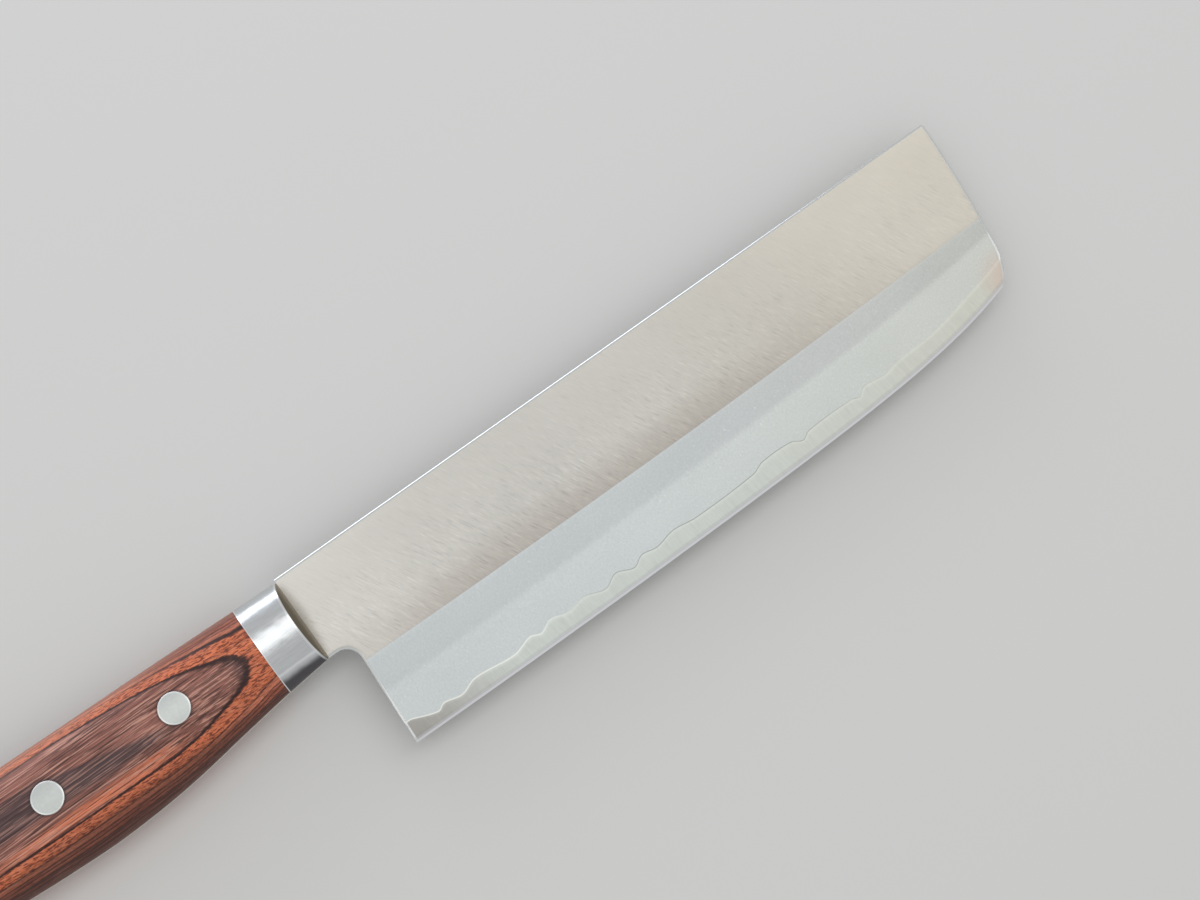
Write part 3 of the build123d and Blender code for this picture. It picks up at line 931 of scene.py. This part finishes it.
scaleWood = woodFinish()
for side, mirrored in (("front", False), ("back", True)):
    shape = scaleHalf(mirrored)
    makePiece(side + "_scale", shape, scaleWood, ["scale_" + side], handle["sharp"])
print("scales done")


# Rivets

rivetLooks = {
    "dull": paint(186, 190, 187), "light": paint(218, 222, 219), "rim": paint(236, 238, 236),
    "brush": {"angle": 8, "pitch": (2.2, 0.3)},
    "spots": {"pitch": (1.3, 1.3, 1.3), "detail": 3, "rough": 0.6},
    "rimHighlight": (2.85, 3.05), "depth": 0.012,
}


def rivetFinish():
    # Sanded flat with the wood: fine lines and faint spots, and a thin painted highlight round the rim
    finish = Finish("satin_rivet", Metallic=1.0)
    x, y, _ = finish.places()
    lines = brushed(finish, **rivetLooks["brush"])
    spots = finish.grain(**rivetLooks["spots"])
    colour = finish.blend(lines * 0.5 + spots * 0.5, rivetLooks["dull"], rivetLooks["light"])
    # A painted highlight round the rim
    rim = fromRivet(x, y).between(*rivetLooks["rimHighlight"])
    colour = finish.blend(rim * 0.7, colour, rivetLooks["rim"])
    normal = finish.bumped(lines * 0.6 + spots * 0.8, rivetLooks["depth"])
    return finish.close(Base_Color=colour, Roughness=0.48 - rim * 0.12, Normal=normal)


def rivetHead(centre, turn):
    # Rings out from the middle: the head's top follows the handle's oval and falls over
    # a soft rim. It is held just under the top of the solids' box.
    r, soft = rivets["headRadius"], rivets["headRound"]
    fall = soft * (1 - np.cos(np.linspace(0, pi / 2, 7)))
    radius = np.append(np.linspace(0, r - soft, 9), r - fall)
    radius = np.unique(np.round(radius, 5))[:, None]
    x, y = centre + radius * np.cos(turn), radius * np.sin(turn)
    level = handleFront(x, y) + rivets["headProud"] - rivets["headFall"] * rounded(r - radius, soft)
    highest = cadBox[1].z / mm - rivets["underBox"]
    return np.stack([x, y, np.minimum(level, highest)], -1)


def lathed(centre, profile, turn):
    # A profile of radius and level, carried round the rivet's own axis
    radius, level = np.array(profile, float).T[:, :, None]
    return np.stack([centre + radius * np.cos(turn), radius * np.sin(turn), level + 0 * turn], -1)


def rivetHalf(head, centre, profile, turn):
    # The top of a head, then its side and the shank or sleeve under it
    return np.concatenate([head, lathed(centre, profile, turn)])


rivetMetal = rivetFinish()
turn = np.linspace(0, 2 * pi, 97)[:-1]
for number, name in enumerate(rivets["names"]):
    centre = -rivets["first"] - number * rivets["pitch"]
    seat = float(handleFront(np.array(centre), np.array(0.0))) - rivets["headThick"]
    foot = rivets["shankGap"] - seat
    head = rivetHead(centre, turn)
    side = (rivets["headRadius"], seat)
    post = [side, (rivets["shankRadius"], seat), (rivets["shankRadius"], foot), (0, foot)]
    shape = closedTube(rivetHalf(head, centre, post, turn))
    makePiece("post_" + name, shape, rivetMetal, ["rivet_post_" + name], rivets["sharp"])
    sleeve = [side, (rivets["sleeveRadius"], seat), (rivets["sleeveRadius"], foot)]
    sleeve += [(rivets["boreRadius"], foot), (rivets["boreRadius"], seat), (0, seat)]
    shape = closedTube(rivetHalf(head, centre, sleeve, turn) * mirror)
    makePiece("sleeve_" + name, shape, rivetMetal, ["rivet_sleeve_" + name], rivets["sharp"])
print("rivets done")


# Floor, light and camera

studio = {
    "floorLevel": cadBox[0].z / mm - 0.05, "floorSize": 3000, "floor": paint(226, 226, 224),
    "world": 0.6,
    "camera": (3.113393, -29.956462, 366.738803), "aim": (69.41, -6.92, 0.0),
    "up": (0.572823, 0.805059, 0.154122), "lens": 54.06, "sensor": 36,
    "clip": (0.01, 20),  # in metres
    "lampUp": (0, 1, 0.01), "floorRough": 0.7,
    "lamps": {
        "key": {"at": (250, 150, 800), "aim": (250, 150, 0), "wide": 1200, "deep": 360, "watts": 1.45},
        "side": {
            "at": (-40, 900, 190), "aim": (0, 0, 0), "wide": 1000, "deep": 320, "watts": 2.6,
            "tint": paint(232, 240, 255),
        },
    },
}


def placed(item, at, aim, up):
    # Turns an item at a place so that it looks along -Z at its aim
    at, aim, up = Vector(at), Vector(aim), Vector(up)
    back = (at - aim).normalized()
    right = up.cross(back).normalized()
    turn = Matrix((right, back.cross(right), back)).transposed().to_4x4()
    item.matrix_world = Matrix.Translation(at * mm) @ turn
    bpy.context.scene.collection.objects.link(item)


def makeFloor():
    # A plain floor that is clear from below
    half = studio["floorSize"] / 2
    corners = np.array([(-half, -half), (half, -half), (half, half), (-half, half)])
    points = np.column_stack([corners, np.full(4, studio["floorLevel"])])
    mesh = bpy.data.meshes.new("floor")
    mesh.from_pydata((points * mm).tolist(), [], [(0, 1, 2, 3)])
    finish = Finish("pale_floor", Base_Color=(*studio["floor"], 1), Roughness=studio["floorRough"])
    behind = finish.node("ShaderNodeNewGeometry", out="Backfacing")
    clear = finish.node("ShaderNodeBsdfTransparent")
    seen = Flow(finish, finish.shader.outputs[0])
    shown = finish.node("ShaderNodeMixShader", {}, {0: behind, 1: seen, 2: clear})
    finish.feed(finish.tree.nodes["Material Output"], {"Surface": shown})
    mesh.materials.append(finish.material)
    floor = bpy.data.objects.new("floor", mesh)
    bpy.context.scene.collection.objects.link(floor)


def makeLights():
    for name, plan in studio["lamps"].items():
        lamp = bpy.data.lights.new(name, "AREA")
        lamp.shape, lamp.energy, lamp.color = "RECTANGLE", plan["watts"], plan.get("tint", (1, 1, 1))
        lamp.size, lamp.size_y = plan["wide"] * mm, plan["deep"] * mm
        placed(bpy.data.objects.new(name, lamp), plan["at"], plan["aim"], studio["lampUp"])
    world = bpy.data.worlds.new("studio")
    world.use_nodes = True
    world.node_tree.nodes["Background"].inputs[0].default_value = (1, 1, 1, 1)
    world.node_tree.nodes["Background"].inputs[1].default_value = studio["world"]
    bpy.context.scene.world = world


makeFloor()
makeLights()
camera = bpy.data.cameras.new("camera")
camera.lens, camera.sensor_width = studio["lens"], studio["sensor"]
camera.clip_start, camera.clip_end = studio["clip"]
viewer = bpy.data.objects.new("camera", camera)
placed(viewer, studio["camera"], studio["aim"], studio["up"])
bpy.context.scene.camera = viewer
bpy.context.scene.view_settings.view_transform = "Standard"
print("studio done")
